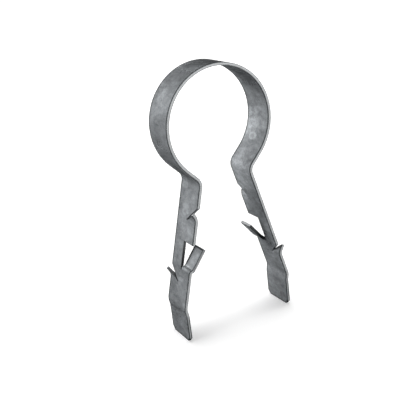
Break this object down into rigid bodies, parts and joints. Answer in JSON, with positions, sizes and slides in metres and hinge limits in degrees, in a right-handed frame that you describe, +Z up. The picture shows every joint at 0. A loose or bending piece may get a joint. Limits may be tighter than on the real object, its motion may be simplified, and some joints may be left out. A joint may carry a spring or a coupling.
{
  "type": "cable clip",
  "caption": "Galvanised spring-steel cable clip bent from one strip: an open ring for the cable above splayed legs with pressed tabs and lanced barbs.",
  "frame": {"origin": "midway between the two feet, on the plane of their lower ends", "axes": "+Z up from the feet to the ring, +Y along the cable through the ring, X across from leg to leg"},
  "size_m": [0.0462, 0.0138, 0.0997],
  "materials": {
    "galvanised_steel": "dull blue-grey zinc coat with a soft spangle, sheared edges brighter"
  },
  "bodies": {
    "root": {"clip_strip": "galvanised_steel"}
  },
  "joints": []
}
